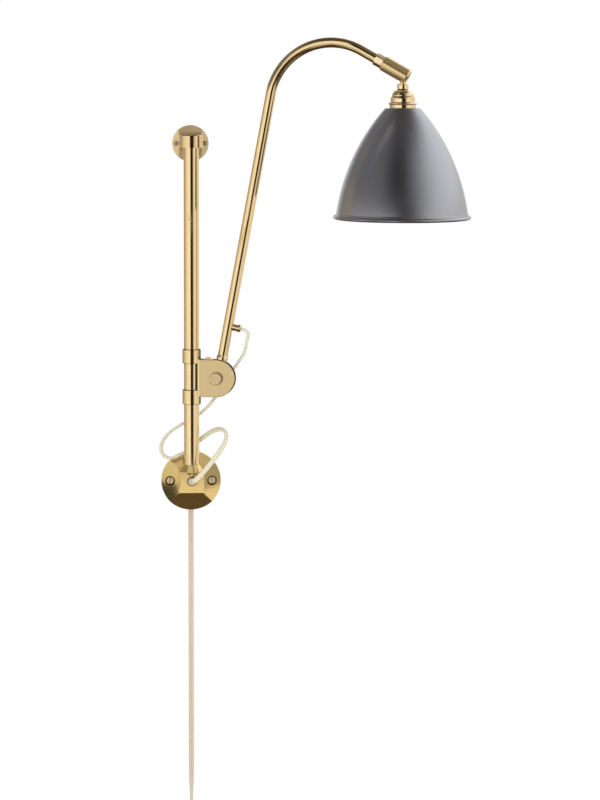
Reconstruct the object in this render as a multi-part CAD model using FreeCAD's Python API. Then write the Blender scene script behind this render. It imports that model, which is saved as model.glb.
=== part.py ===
import FreeCAD, Part
import math
import os

# Wall lamp: a brass tube stands between two wall plates, a carriage slides and turns on it, and a
# swan-neck arm on the carriage carries a bell-shaped shade. Millimetres, +Z up, the wall is the
# plane Y = 0 and the lamp stands on its -Y side. The origin is the middle of the lower wall
# plate's back face.

V = FreeCAD.Vector
Rotation = FreeCAD.Rotation
Placement = FreeCAD.Placement
X_AXIS = V(1, 0, 0)
Y_AXIS = V(0, 1, 0)
Z_AXIS = V(0, 0, 1)
ORIGIN = V(0, 0, 0)

# Clearances that more than one fit uses
overrun = 2.0
seat_gap = 0.1
press_gap = 0.05
running_gap = 0.05

# Rail
rail_diameter = 18.0
rail_wall = 1.0
rail_length = 399.0
rail_standoff = 38.0
rail_foot = 10.8
rail_radius = rail_diameter / 2

# Lower wall plate
plate_diameter = 71.0
plate_rim = 5.0
facet_angle = 18.0
plate_hollow_radius = 19.0
plate_hollow_depth = 8.0
block_width = 28.8
block_drop = 3.6
block_rise = 16.7
block_lead = 12.6
block_bevel = 0.9
neck_height = 7.7
neck_wall = 0.9
neck_swell = 1.6
neck_tuck = 4.2
neck_tuck_radius = 12.2

# Screws of the lower plate
screw_spacing = 50.0
screw_radius = 2.0
screw_head_radius = 4.2
screw_recess_radius = 5.4
screw_recess_floor = 6.2
screw_length = 31.0
screw_point = 5.0
screw_waist = 0.25
relief_margin = 1.4
relief_depth = 1.0
slot_width = 1.0
slot_depth = 1.1
slot_turn = 8.0

# Upper wall plate
rail_end_above_plate = 7.6
top_plate_margin = 1.8
top_plate_rim = 4.0
boss_radius = 13.5
boss_drop = 3.9
boss_rise = 10.6
boss_bevel = 0.8
top_screw_spacing = 33.6
top_screw_radius = 1.6
top_screw_head_radius = 2.5
top_recess_radius = 2.9
top_recess_floor = 4.5
top_screw_length = 24.0
top_screw_point = 4.0

# Grub screw in the neck
grub_radius = 1.5
grub_length = 3.2
grub_height = 12.9
grub_slot = 0.6

# Flat twin flex, and the round tube that stands for it where it lies free
flex_width = 6.2
flex_thickness = 3.2
flex_tube = 4.6
flex_off_wall = 2.6
grommet_height = 5.8
grommet_flange_radius = 5.4
grommet_flange = 1.2
grommet_round = 0.5
grommet_sleeve_radius = 4.0
grommet_sleeve = 10.0
flex_turn_radius = 6.0
notch_clearance = 0.4
lead_inset = 1.0
lead_bottom = 392.0

# Wound length of the lead
coil_bend = 16.0
coil_radius = 36.0
coil_pitch = 5.75
coil_layer_pitch = 6.5
coil_layers = 4
coil_halves = 3
coil_off_wall = 4.5
tie_width = 7.0
tie_thickness = 0.8
tie_gap = 0.5
tail_bend = 15.0
tail_drop = 16.0

# Plug
plug_length = 34.0
plug_width = 35.0
plug_neck = 15.0
plug_thickness = 13.6
plug_round = 4.0
plug_shoulder = 15.0
pin_radius = 2.0
pin_tip_share = 0.8
pin_length = 19.0
pin_spacing = 18.6
relief_length = 22.0
relief_top_radius = 3.3
relief_radius = 4.6

# Carriage: places along the arm's plane are measured from the rail's axis
swing_angle = 13.0
pivot_reach = 30.3
pivot_height = 127.6
cheek_radius = 22.1
cheek_outer = 6.0
cheek_thickness = 1.6
cheek_start = 8.5
cheek_fillet = 3.4
cheek_bevel = 0.5
bush_wall = 0.35
bush_lip = 0.55
bush_lip_radius = 10.0
lip_gap = 0.3
collar_wall = 1.5
upper_collar_low = 17.7
upper_collar_high = 33.3
lower_collar_low = -30.8
lower_collar_high = -14.5
core_end = 13.5
back_strip_half = 7.0
spacer_x = 19.8
spacer_z = 19.2
spacer_radius = 5.6

# Pivot
pivot_radius = 4.0
pivot_head_radius = 7.3
pivot_head = 5.5
pivot_head_bevel = 0.5
pad_thickness = 1.8
pad_inset = 0.5
pad_flat = 16.6
spring_washer_radius = 7.5
spring_washer = 1.2
nut_flats = 13.0
nut_height = 5.0
pin_stub = 1.0

# Arm: places are measured from the pivot, along the tube and square to it
arm_lean = 10.5
arm_offset = 2.2
tongue_radius = 18.8
tongue_clearance = 0.5
tongue_neck_width = 10.0
tongue_shoulder = 22.7
arm_diameter = 12.0
arm_wall = 1.0
spigot_length = 15.0
ferrule_radius = 6.9
ferrule_top_radius = 6.3
ferrule_floor = 1.4
ferrule_length = 5.8
bend_radius = 72.0
bend_start = 340.1
bend_turn = 109.0
arm_end_run = 55.0
tube_end_inset = 22.0
arm_radius = arm_diameter / 2

# Cord outlet on the arm's side
gland_place = 63.0
gland_reach = 15.4
gland_root_radius = 3.9
gland_waist = 9.6
gland_groove_radius = 3.6
gland_groove = 0.8
gland_flare_radius = 4.4
gland_bore = 3.3
gland_hole = 2.75
gland_flex_turn = 3.6

# Swivel at the arm's end: places are measured from the ball along the barrel
barrel_radius = 9.0
barrel_bore = 7.6
barrel_back = 26.5
barrel_front = 7.4
barrel_floor = 3.0
barrel_seat = 4.4
barrel_mouth = 6.1
barrel_flare = 6.9
barrel_nose = 3.2
barrel_bevel = 0.7
slot_back = 1.1
slot_clearance = 0.35
end_nut_flats = 13.4
end_nut_radius = 7.35
end_nut_length = 10.0
end_collar_length = 1.9
end_collar_radius = 7.4
cup_front = 4.6
cup_back = 11.4
cup_radius = 7.45
cup_bore = 3.0
spring_disc = 0.8
spring_discs = 6
spring_radius = 7.2
spring_bore = 3.2

# Head: heights are measured from the shade's top, the ball's centre lies above it
ball_radius = 7.3
ball_height = 39.0
ball_gap = 0.15
stem_radius = 3.6
stem_bore = 2.5
stem_foot = 12.6
stem_nut_radius = 6.7
stem_nut_low = 21.5
stem_nut_high = 28.0
stem_nut_bevel = 0.9
cap_top_radius = 5.6
cap_dome_radius = 12.6
cap_dome_height = 15.4
cap_groove_radius = 12.1
cap_groove_height = 13.2
cap_bulge_radius = 14.1
cap_bulge_low = 6.9
cap_lip_radius = 15.8
cap_lip_foot_radius = 15.2
cap_wall = 1.2

# Shade
shade_top_radius = 20.7
shade_mid_radius = 56.95
shade_mid_drop = 56.0
shade_low_radius = 76.2
shade_low_drop = 121.0
shade_wall = 1.0
shade_hole_radius = 13.8
bead_radius = 77.75
bead_drop = 125.6
bead_section = 2.25
shade_ring_radius = 19.0
shade_ring_height = 4.5

# Lampholder and bulb
holder_radius = 13.4
holder_collar_radius = 11.2
holder_collar_top = 12.6
holder_foot = 36.0
holder_roof = 8.0
shell_radius = 7.6
shell_wall = 0.5
shell_top = 12.0
shell_foot = 33.0
contact_radius = 2.2
bulb_base_radius = 6.9
bulb_base_foot = 40.0
bulb_tip = 10.5
bulb_neck_radius = 8.6
bulb_radius = 22.5
bulb_centre = 72.0
bulb_wall = 0.8

# Values that follow from the ones above
block_front = rail_standoff + block_lead
neck_top = block_rise + neck_height
rail_top = rail_foot + rail_length
top_plate_spacing = rail_top - rail_end_above_plate
top_plate_diameter = top_screw_spacing + 2 * (top_recess_radius + top_plate_margin)
facet_slope = math.tan(math.radians(facet_angle))
bush_outer = rail_radius + running_gap + bush_wall
collar_bore = bush_outer + running_gap
collar_outer = collar_bore + collar_wall
cheek_inner = cheek_outer - cheek_thickness
tongue_half = cheek_inner - pad_thickness - 2 * press_gap
tube_foot = tongue_shoulder + 2 * press_gap + ferrule_floor
ball_x = (
    arm_offset + bend_radius
    - bend_radius * math.cos(math.radians(bend_turn))
    + arm_end_run * math.sin(math.radians(bend_turn))
)
ball_z = (
    bend_start
    + bend_radius * math.sin(math.radians(bend_turn))
    + arm_end_run * math.cos(math.radians(bend_turn))
)

# Frames: wall (x right, y up, z off the wall), swing (x along the arm's plane, from the rail's
# axis), arm (z along the straight tube, from the pivot), barrel (z along the tube's end, from the
# ball) and head (z up, from the shade's top)
wall = Placement(ORIGIN, Rotation(X_AXIS, 90))
top_wall = Placement(V(0, 0, top_plate_spacing), Rotation(X_AXIS, 90))
swing = Placement(V(0, -rail_standoff, 0), Rotation(Z_AXIS, -swing_angle))
pivot = swing.multiply(Placement(V(pivot_reach, 0, pivot_height), Rotation()))
arm = pivot.multiply(Placement(ORIGIN, Rotation(Y_AXIS, arm_lean)))
barrel = arm.multiply(Placement(V(ball_x, 0, ball_z), Rotation(Y_AXIS, bend_turn)))
ball_point = barrel.multVec(ORIGIN)
head = Placement(ball_point - V(0, 0, ball_height), Rotation(Z_AXIS, -swing_angle))

# Flex loop from the arm's outlet to the grommet, as points chosen along its run
gland_tip = arm.multVec(V(arm_offset + gland_reach, 0, gland_place))
gland_way = arm.Rotation.multVec(X_AXIS)
gland_run = 10.0
grommet_run = 10.5
grommet_face = V(0, -block_front - grommet_flange, grommet_height)
loop_middle = [
    V(64.8, -50.0, 172.5),
    V(62.6, -44.5, 157.5),
    V(55.0, -35.5, 145.0),
    V(45.5, -27.5, 129.5),
    V(35.0, -24.5, 111.0),
    V(22.0, -23.5, 93.0),
    V(8.0, -21.5, 80.0),
    V(-9.0, -20.0, 71.0),
    V(-25.0, -21.0, 61.5),
    V(-36.0, -22.5, 48.5),
    V(-35.8, -23.0, 34.5),
    V(-25.5, -22.0, 28.3),
    V(-12.0, -20.5, 32.5),
    V(3.5, -20.5, 44.5),
    V(18.0, -24.0, 58.0),
    V(31.0, -31.5, 66.3),
    V(41.5, -39.0, 63.5),
    V(40.5, -46.0, 52.5),
    V(31.0, -52.0, 38.5),
    V(19.5, -57.5, 25.5),
    V(9.5, -61.5, 14.0),
]
loop_start = [gland_tip, gland_tip + gland_way * gland_run]
loop_end = [grommet_face - Y_AXIS * grommet_run, grommet_face]
loop_route = loop_start + loop_middle + loop_end
# Numbers of the runs of the route in which the loop passes from arm to carriage and to the rail
carriage_run = 5
glide_run = 8


# Shapes that several pieces use
def rod(radius, length, start=ORIGIN, way=Z_AXIS):
    return Part.makeCylinder(radius, length, start, way)


def pipe(outer, inner, length, start=ORIGIN, way=Z_AXIS):
    return rod(outer, length, start, way).cut(rod(inner, length, start, way))


def block(low, high):
    size = high - low
    return Part.makeBox(size.x, size.y, size.z, low)


def outline(points):
    """Closed face in the XZ plane; a pair of points is an arc through the first to the second."""
    edges = []
    here = points[0]
    for step in list(points[1:]) + [points[0]]:
        if isinstance(step[0], tuple):
            middle, end = (V(x, 0, z) for x, z in step)
            edges.append(Part.Arc(V(here[0], 0, here[1]), middle, end).toShape())
            here = step[1]
        elif step != here:
            edges.append(Part.LineSegment(V(here[0], 0, here[1]), V(step[0], 0, step[1])).toShape())
            here = step
    return Part.Face(Part.Wire(edges))


def turned(points):
    """Solid turned round Z from (radius, height) points."""
    return outline(points).revolve(ORIGIN, Z_AXIS, 360)


def hexagon(flats, height, start):
    corner = flats / 2 / math.cos(math.pi / 6)
    ring = [
        V(corner * math.cos(k * math.pi / 3), corner * math.sin(k * math.pi / 3), start)
        for k in range(7)
    ]
    return Part.Face(Part.makePolygon(ring)).extrude(V(0, 0, height))


def bevelled_disc(radius, bevel, low, high):
    return turned([(0, low), (radius, low), (radius, high - bevel), (radius - bevel, high), (0, high)])


def put(shape, place):
    moved = shape.copy()
    moved.Placement = place.multiply(moved.Placement)
    return moved


def flat_section(width, thickness, start, way, across):
    """Flat twin flex's outline: a face with round edges, square to way."""
    up = way.cross(across)
    half = (width - thickness) / 2
    r = thickness / 2
    corners = [start + across * (half * s) + up * (r * t) for s, t in ((-1, 1), (1, 1), (1, -1), (-1, -1))]
    right = start + across * (half + r)
    left = start - across * (half + r)
    return Part.Wire([
        Part.LineSegment(corners[0], corners[1]).toShape(),
        Part.Arc(corners[1], right, corners[2]).toShape(),
        Part.LineSegment(corners[2], corners[3]).toShape(),
        Part.Arc(corners[3], left, corners[0]).toShape(),
    ])


def swept(edges, radius):
    """Round tube along edges."""
    path = Part.Wire(edges)
    start = edges[0].valueAt(edges[0].FirstParameter)
    way = edges[0].tangentAt(edges[0].FirstParameter)
    ring = Part.Wire(Part.makeCircle(radius, start, way))
    tube = path.makePipeShell([ring], True, False)
    return tube, path.Length


# Round-cornered runs of a free cord
def corner_arcs(points):
    """For each inner point, the arc's start, middle, end and radius."""
    arcs = []
    for before, at, after in zip(points, points[1:], points[2:]):
        way_in = (at - before).normalize()
        way_out = (after - at).normalize()
        half_turn = way_in.getAngle(way_out) / 2
        setback_share = 0.45
        setback = setback_share * min((at - before).Length, (after - at).Length)
        radius = setback / math.tan(half_turn)
        inwards = (way_out - way_in).normalize()
        middle = at + inwards * (radius / math.cos(half_turn) - radius)
        arcs.append((at - way_in * setback, middle, at + way_out * setback, radius))
    return arcs


def route_edges(start, arcs, end):
    edges = []
    here = start
    for first, middle, last, _ in arcs:
        edges.append(Part.LineSegment(here, first).toShape())
        edges.append(Part.Arc(first, middle, last).toShape())
        here = last
    edges.append(Part.LineSegment(here, end).toShape())
    return edges


def loop_stretches():
    """The flex loop as three tubes that meet face to face."""
    arcs = corner_arcs(loop_route)
    print("loop radii", [round(a[3], 1) for a in arcs])
    joins = [(loop_route[k] + loop_route[k + 1]) * (1 / 2) for k in (carriage_run, glide_run)]
    ends = [loop_route[0]] + joins + [loop_route[-1]]
    cuts = [0, carriage_run, glide_run, len(arcs)]
    tubes = []
    for k in range(3):
        edges = route_edges(ends[k], arcs[cuts[k]:cuts[k + 1]], ends[k + 1])
        tube, length = swept(edges, flex_tube / 2)
        expected = math.pi * (flex_tube / 2) ** 2 * length
        print("loop stretch", round(length, 1), "volume share", round(tube.Volume / expected, 4))
        tubes.append(tube)
    return tubes


# Wound length
def arc_from(start, way, end):
    """Arc from start, leaving along way, to end."""
    chord = end - start
    along = V(chord).normalize()
    half = way.getAngle(along)
    out = (way - along * way.dot(along)).normalize()
    middle = (start + end) * (1 / 2) + out * (chord.Length / 2 * math.tan(half / 2))
    return Part.Arc(start, middle, end).toShape()


def biarc(start, way, end, end_way):
    """Two arcs that join start and end with the given directions."""
    span = end - start
    both = way + end_way
    spread = 2 * (1 - way.dot(end_way))
    reach = (-span.dot(both) + math.sqrt(span.dot(both) ** 2 + spread * span.dot(span))) / spread
    joint = (start + way * reach + end - end_way * reach) * (1 / 2)
    back = arc_from(end, end_way * -1, joint)
    second = Part.Arc(
        joint,
        back.valueAt((back.FirstParameter + back.LastParameter) / 2),
        end,
    ).toShape()
    return [arc_from(start, way, joint), second]


def coil_stations():
    """Centreline points of the coil at each half turn: radius and distance from the wall."""
    stations = [(coil_radius, coil_off_wall)]
    radius = coil_radius
    depth = coil_off_wall
    for layer in range(coil_layers):
        step = -coil_pitch / 2 if layer % 2 == 0 else coil_pitch / 2
        for _ in range(coil_halves):
            radius += step
            stations.append((radius, depth))
        if layer < coil_layers - 1:
            depth += coil_layer_pitch
            stations.append((radius, depth))
    return stations


coil_x = coil_bend
coil_z = -lead_bottom - flex_tube - coil_bend - coil_radius


def coil_point(k, station):
    """Place and direction at half turn k: odd ones at the bottom, even ones at the top."""
    side = 1 if k % 2 == 0 else -1
    radius, depth = station
    return V(coil_x, -depth, coil_z + side * radius), V(side, 0, 0)


def coil_edges():
    top = V(0, -flex_off_wall, -lead_bottom)
    bend_top = top - V(0, 0, flex_tube)
    edges = [Part.LineSegment(top, bend_top).toShape()]
    stations = coil_stations()
    places = [coil_point(k, s) for k, s in enumerate(stations)]
    edges += biarc(bend_top, V(0, 0, -1), places[0][0], places[0][1])
    for (a, way_a), (b, way_b) in zip(places, places[1:]):
        edges += biarc(a, way_a, b, way_b)
    last, way = places[-1]
    edges.append(Part.LineSegment(last, last + way * flex_tube).toShape())
    return edges


def least_self_gap(edges, diameter):
    """Least distance between the tube's surfaces, from points along its centreline."""
    points = []
    travelled = []
    total = 0
    spacing_share = 0.5
    for edge in edges:
        count = max(2, int(edge.Length / (diameter * spacing_share)))
        for k in range(count):
            at = edge.FirstParameter + (edge.LastParameter - edge.FirstParameter) * k / count
            points.append(edge.valueAt(at))
            travelled.append(total + edge.Length * k / count)
        total += edge.Length
    near = diameter * math.pi
    least = total
    for i, p in enumerate(points):
        for j in range(i):
            if travelled[i] - travelled[j] > near:
                least = min(least, p.distanceToPoint(points[j]))
    return least - diameter


def mains_coil():
    edges = coil_edges()
    tube, length = swept(edges, flex_tube / 2)
    expected = math.pi * (flex_tube / 2) ** 2 * length
    print("coil length", round(length, 1), "volume share", round(tube.Volume / expected, 4))
    print("coil self gap", round(least_self_gap(edges, flex_tube), 2))
    return tube


def coil_tie():
    """Strap round all turns on the coil's right side."""
    stations = coil_stations()
    reach = flex_tube / 2 + tie_gap
    low_r = min(r for r, _ in stations) - reach
    high_r = coil_radius + reach
    front = max(d for _, d in stations) + reach
    back = coil_off_wall - reach
    half = tie_width / 2
    low = V(coil_x + low_r, -front, coil_z - half)
    high = V(coil_x + high_r, -back, coil_z + half)
    skin = V(tie_thickness, tie_thickness, 0)
    strap = block(low - skin, high + skin)
    corners = [e for e in strap.Edges if abs(e.tangentAt(e.FirstParameter).z) == 1]
    return strap.makeFillet(tie_thickness, corners).cut(
        block(low - V(0, 0, overrun), high + V(0, 0, overrun))
    )


def tail_points():
    last, way = coil_point(coil_layers * (coil_halves + 1) - 1, coil_stations()[-1])
    start = last + way * flex_tube
    turn = start + way * tail_bend - V(0, 0, tail_bend)
    return start, way, turn


def lead_tail():
    start, way, turn = tail_points()
    edges = [arc_from(start, way, turn)]
    edges.append(Part.LineSegment(turn, turn - V(0, 0, tail_drop)).toShape())
    tube, _ = swept(edges, flex_tube / 2)
    return tube


# Plug
def plug_top():
    return tail_points()[2] - V(0, 0, tail_drop)


def plug_place():
    return Placement(plug_top() - V(0, 0, relief_length), Rotation())


def plug_strain_relief():
    shape = turned([
        (0, 0), (relief_radius, 0), (relief_top_radius, relief_length), (0, relief_length),
    ])
    return put(shape, plug_place())


def plug_body():
    face = outline([
        (-plug_neck / 2, 0), (plug_neck / 2, 0), (plug_width / 2, -plug_shoulder),
        (plug_width / 2, -plug_length), (-plug_width / 2, -plug_length),
        (-plug_width / 2, -plug_shoulder),
    ])
    body = face.extrude(V(0, plug_thickness, 0))
    body.translate(V(0, -plug_thickness / 2, 0))
    sides = [e for e in body.Edges if abs(e.tangentAt(e.FirstParameter).y) < 1 and e.CenterOfMass.z < 0
             and e.CenterOfMass.z > -plug_length]
    return put(body.makeFillet(plug_round, sides), plug_place())


def plug_pins():
    pins = []
    for side in (-1, 1):
        at = V(side * pin_spacing / 2, 0, -plug_length)
        pin = rod(pin_radius, pin_length, at, V(0, 0, -1))
        tip = max(pin.Edges, key=lambda e: -e.CenterOfMass.z)
        pins.append(pin.makeFillet(pin_radius * pin_tip_share, [tip]))
    return put(Part.Compound(pins), plug_place())


# Wall plates
def faceted_plate(diameter, rim, square):
    """Round plate whose four facets rise from the rim to a square of the given width."""
    radius = diameter / 2
    rise = (radius - square / 2) * facet_slope

    def ring(half, height):
        return Part.makePolygon([V(half * x, half * y, height) for x, y in
                                 ((-1, -1), (1, -1), (1, 1), (-1, 1), (-1, -1))])

    pyramid = Part.makeLoft([ring(radius, rim), ring(square / 2, rim + rise)], True, True)
    return rod(radius, rim).fuse(pyramid.common(rod(radius, rim + rise)))


def screw_seats(spacing, radius, head_radius, recess_radius, floor):
    """Recess, countersink, hole and the hole's relief at the back of each screw."""
    seats = []
    for side in (-1, 1):
        at = V(side * spacing / 2, 0, 0)
        hole = rod(radius + seat_gap, floor + overrun, at - V(0, 0, overrun))
        sink = Part.makeCone(
            radius + seat_gap, head_radius + seat_gap, head_radius - radius,
            at + V(0, 0, floor - head_radius + radius),
        )
        recess = rod(recess_radius, block_front, at + V(0, 0, floor))
        relief = rod(radius + relief_margin, relief_depth + overrun, at - V(0, 0, overrun))
        seats += [hole, sink, recess, relief]
    return seats


def wood_screws(spacing, radius, head_radius, floor, length, point):
    """Slotted countersunk screws, waisted under the head, which is level with the recess floor."""
    screws = []
    for side in (-1, 1):
        waist = radius - screw_waist
        thread_top = relief_depth / 2
        shape = turned([
            (0, floor), (head_radius, floor), (waist, floor - head_radius + waist), (waist, thread_top),
            (radius, thread_top), (radius, floor - length + point), (0, floor - length),
        ])
        slot = block(V(-slot_width / 2, -head_radius, floor - slot_depth),
                     V(slot_width / 2, head_radius, floor + overrun))
        slot.rotate(ORIGIN, Z_AXIS, side * slot_turn)
        shape = shape.cut(slot)
        shape.translate(V(side * spacing / 2, 0, 0))
        screws.append(shape)
    return Part.Compound(screws)


def lower_wall_plate():
    body = block(V(-block_width / 2, -block_drop, 0), V(block_width / 2, block_rise, block_front))
    front = [e for e in body.Edges if e.CenterOfMass.z == block_front]
    body = body.makeChamfer(block_bevel, front)
    plate = faceted_plate(plate_diameter, plate_rim, block_width).fuse(body)
    hollow = rod(plate_hollow_radius, plate_hollow_depth + overrun, V(0, 0, -overrun))
    notch_half = flex_width / 2 + notch_clearance
    notch_depth = flex_off_wall + flex_thickness / 2 + notch_clearance
    notch = block(V(-notch_half, -plate_diameter, -overrun), V(notch_half, 0, notch_depth))
    seats = screw_seats(screw_spacing, screw_radius, screw_head_radius,
                        screw_recess_radius, screw_recess_floor)
    plate = put(plate.cut([hollow, notch] + seats), wall)
    neck_radius = rail_radius + neck_wall
    swell_radius = block_lead + neck_swell
    neck = turned([
        (0, block_rise - block_bevel - neck_tuck), (neck_tuck_radius, block_rise - block_bevel - neck_tuck),
        (swell_radius, block_rise - block_bevel), (neck_radius, neck_top), (0, neck_top),
    ])
    neck.translate(V(0, -rail_standoff, 0))
    bore = rod(rail_radius + press_gap, rail_length, V(0, -rail_standoff, rail_foot))
    flex_hole = rod(grommet_sleeve_radius + press_gap, block_front,
                    V(0, -block_front, grommet_height), Y_AXIS)
    grub_hole = rod(grub_radius + press_gap, block_front, V(0, -rail_standoff, grub_height), V(0, -1, 0))
    back = block(V(-plate_diameter, 0, -plate_diameter), V(plate_diameter, plate_diameter, plate_diameter))
    return plate.fuse(neck).cut([bore, flex_hole, grub_hole, back])


def upper_wall_plate():
    plate = faceted_plate(top_plate_diameter, top_plate_rim, 2 * boss_radius)
    boss = block(V(-boss_radius, -boss_drop, 0), V(boss_radius, boss_rise, rail_standoff))
    nose = rod(boss_radius, boss_rise + boss_drop, V(0, -boss_drop, rail_standoff), Y_AXIS)
    boss = boss.fuse(nose).removeSplitter()
    rims = [e for e in boss.Edges if abs(e.CenterOfMass.y - boss_rise) < seat_gap
            and e.CenterOfMass.z > rail_standoff]
    boss = boss.makeChamfer(boss_bevel, rims)
    seats = screw_seats(top_screw_spacing, top_screw_radius, top_screw_head_radius,
                        top_recess_radius, top_recess_floor)
    shape = put(plate.fuse(boss).cut(seats), top_wall)
    bore = rod(rail_radius + press_gap, rail_length + seat_gap, V(0, -rail_standoff, rail_foot))
    return shape.cut(bore)


def rail_grub_screw():
    start = V(0, -rail_standoff - rail_radius, grub_height)
    screw = rod(grub_radius, grub_length, start, V(0, -1, 0))
    face = start - V(0, grub_length, 0)
    slot = block(face - V(grub_slot / 2, overrun, grub_radius),
                 face + V(grub_slot / 2, grub_slot, grub_radius))
    return screw.cut(slot)


def cord_grommet():
    low = block_front
    high = block_front + grommet_flange
    shape = turned([
        (gland_bore, low - grommet_sleeve), (grommet_sleeve_radius, low - grommet_sleeve),
        (grommet_sleeve_radius, low), (grommet_flange_radius, low),
        (grommet_flange_radius, high - grommet_round), (grommet_flange_radius - grommet_round, high),
        (gland_bore, high),
    ])
    return put(shape, Placement(V(0, 0, grommet_height), Rotation(X_AXIS, 90)))


# Lead
def lead_inside_plate():
    bend = flex_turn_radius
    top = V(0, -flex_off_wall - bend, grommet_height)
    turn = V(0, -flex_off_wall, grommet_height - bend)
    edges = [
        Part.LineSegment(grommet_face, top).toShape(),
        arc_from(top, Y_AXIS, turn),
        Part.LineSegment(turn, lead_start()).toShape(),
    ]
    section = flat_section(flex_width, flex_thickness, grommet_face, Y_AXIS, X_AXIS)
    return Part.Wire(edges).makePipeShell([section], True, False)


def lead_start():
    return V(0, -flex_off_wall, -plate_diameter / 2 + lead_inset)


def mains_lead():
    section = flat_section(flex_width, flex_thickness, lead_start(), V(0, 0, -1), X_AXIS)
    return Part.Face(section).extrude(V(0, 0, -lead_bottom) - V(0, 0, lead_start().z))


# Glide and carriage
def glide_bushes():
    bushes = []
    for low, high in ((upper_collar_low, upper_collar_high), (lower_collar_low, lower_collar_high)):
        inner = rail_radius + running_gap
        lip_low = low - seat_gap
        lip_high = high + seat_gap
        bushes.append(turned([
            (inner, lip_low - bush_lip), (bush_lip_radius, lip_low - bush_lip), (bush_lip_radius, lip_low),
            (bush_outer, lip_low), (bush_outer, lip_high), (bush_lip_radius, lip_high),
            (bush_lip_radius, lip_high + bush_lip), (inner, lip_high + bush_lip),
        ]))
    return put(Part.Compound(bushes), swing.multiply(Placement(V(0, 0, pivot_height), Rotation())))


def cheek_outline():
    """D-shaped cheek with hollow fillets up and down its root, from the rail's axis."""
    root = cheek_start
    r = cheek_radius
    f = cheek_fillet
    diagonal = math.sqrt(1 / 2)
    in_f = f * (1 - diagonal)
    x = pivot_reach
    return outline([
        (root, -r - f), ((root + in_f, -r - in_f), (root + f, -r)), (x, -r),
        ((x + r, 0), (x, r)), (root + f, r), ((root + in_f, r + in_f), (root, r + f)),
    ])


def cheek(side):
    """One cheek plate, bevelled along its outer edge; side -1 faces the room."""
    plate = cheek_outline().extrude(V(0, cheek_thickness, 0))
    face_y = 0 if side < 0 else cheek_thickness
    rims = [e for e in plate.Edges
            if abs(e.CenterOfMass.y - face_y) < press_gap and e.CenterOfMass.x > cheek_start + press_gap]
    plate = plate.makeChamfer(cheek_bevel, rims)
    plate.translate(V(0, -cheek_outer if side < 0 else cheek_inner, 0))
    return plate


def carriage_bracket():
    """Two open collars round the rail with two cheeks, as one brazed piece."""
    shape = cheek(-1).fuse(cheek(1))
    for low, high in ((upper_collar_low, upper_collar_high), (lower_collar_low, lower_collar_high)):
        collar = pipe(collar_outer, collar_bore, high - low, V(0, 0, low))
        mouth = block(V(0, -cheek_inner, low - overrun), V(2 * collar_outer, cheek_inner, high + overrun))
        shape = shape.fuse(collar.cut(mouth))
    hole = rod(pivot_radius + press_gap, 2 * pivot_reach, V(pivot_reach, -pivot_reach, 0), Y_AXIS)
    core = rod(collar_bore, 2 * rail_length, V(0, 0, -rail_length))
    lips = rod(bush_lip_radius + lip_gap, upper_collar_low - lower_collar_high, V(0, 0, lower_collar_high))
    shape = shape.cut([hole, core, lips])
    return put(shape, swing.multiply(Placement(V(0, 0, pivot_height), Rotation())))


def across(height, start):
    """Placement that lays a turned piece across the cheeks, its foot at start."""
    return pivot.multiply(Placement(V(0, start, height), Rotation(X_AXIS, 90)))


def tongue_room():
    """What the arm's tongue sweeps between the cheeks, with its clearance, from the rail's axis."""
    return rod(tongue_radius + tongue_clearance, 2 * pivot_reach, V(pivot_reach, -pivot_reach, 0), Y_AXIS)


def carriage_core():
    """Black filling between the cheeks on the rail's side, with a strip along the rail's back."""
    half = cheek_inner - press_gap
    core = cheek_outline().extrude(V(0, 2 * half, 0))
    core.translate(V(0, -half, 0))
    core = core.common(block(V(0, -half, -pivot_reach), V(core_end, half, pivot_reach)))
    for low, high in ((upper_collar_low, upper_collar_high), (lower_collar_low, lower_collar_high)):
        mouth = block(V(0, -half, low), V(2 * collar_outer, half, high))
        core = core.fuse(pipe(collar_outer - press_gap, rail_radius, high - low, V(0, 0, low)).common(mouth))
    strip_high = upper_collar_low - seat_gap - bush_lip - lip_gap
    strip_low = lower_collar_high + seat_gap + bush_lip + lip_gap
    strip = pipe(bush_lip_radius + lip_gap - press_gap, rail_radius, strip_high - strip_low, V(0, 0, strip_low))
    strip = strip.common(block(V(0, -back_strip_half, strip_low), V(2 * collar_outer, back_strip_half, strip_high)))
    core = core.fuse(strip)
    cuts = [tongue_room(), rod(rail_radius + lip_gap, 2 * rail_length, V(0, 0, -rail_length))]
    for low, high in ((strip_high, upper_collar_low), (lower_collar_high, strip_low)):
        cuts.append(rod(bush_lip_radius + lip_gap, high - low, V(0, 0, low)))
    for low, high in ((upper_collar_low, upper_collar_high), (lower_collar_low, lower_collar_high)):
        cuts.append(rod(collar_bore, high - low, V(0, 0, low)))
    return put(core.cut(cuts), swing.multiply(Placement(V(0, 0, pivot_height), Rotation())))


def spacer_rod(radius, half):
    return rod(radius, 2 * half, V(spacer_x, -half, spacer_z), Y_AXIS)


def cheek_spacer():
    """Round distance piece brazed between the cheeks, hollowed where the tongue passes under it."""
    shape = spacer_rod(spacer_radius, cheek_inner - press_gap).cut(tongue_room())
    return put(shape, swing.multiply(Placement(V(0, 0, pivot_height), Rotation())))


def pivot_pin():
    front = cheek_outer + pivot_head
    back = cheek_outer + spring_washer + nut_height + pin_stub
    shape = turned([
        (0, front), (pivot_head_radius - pivot_head_bevel, front),
        (pivot_head_radius, front - pivot_head_bevel), (pivot_head_radius, cheek_outer),
        (pivot_radius, cheek_outer), (pivot_radius, -back), (0, -back),
    ])
    return put(shape, across(0, 0))


def pivot_washer():
    shape = pipe(spring_washer_radius, pivot_radius + press_gap, spring_washer,
                 V(0, 0, -cheek_outer - spring_washer))
    return put(shape, across(0, 0))


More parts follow.
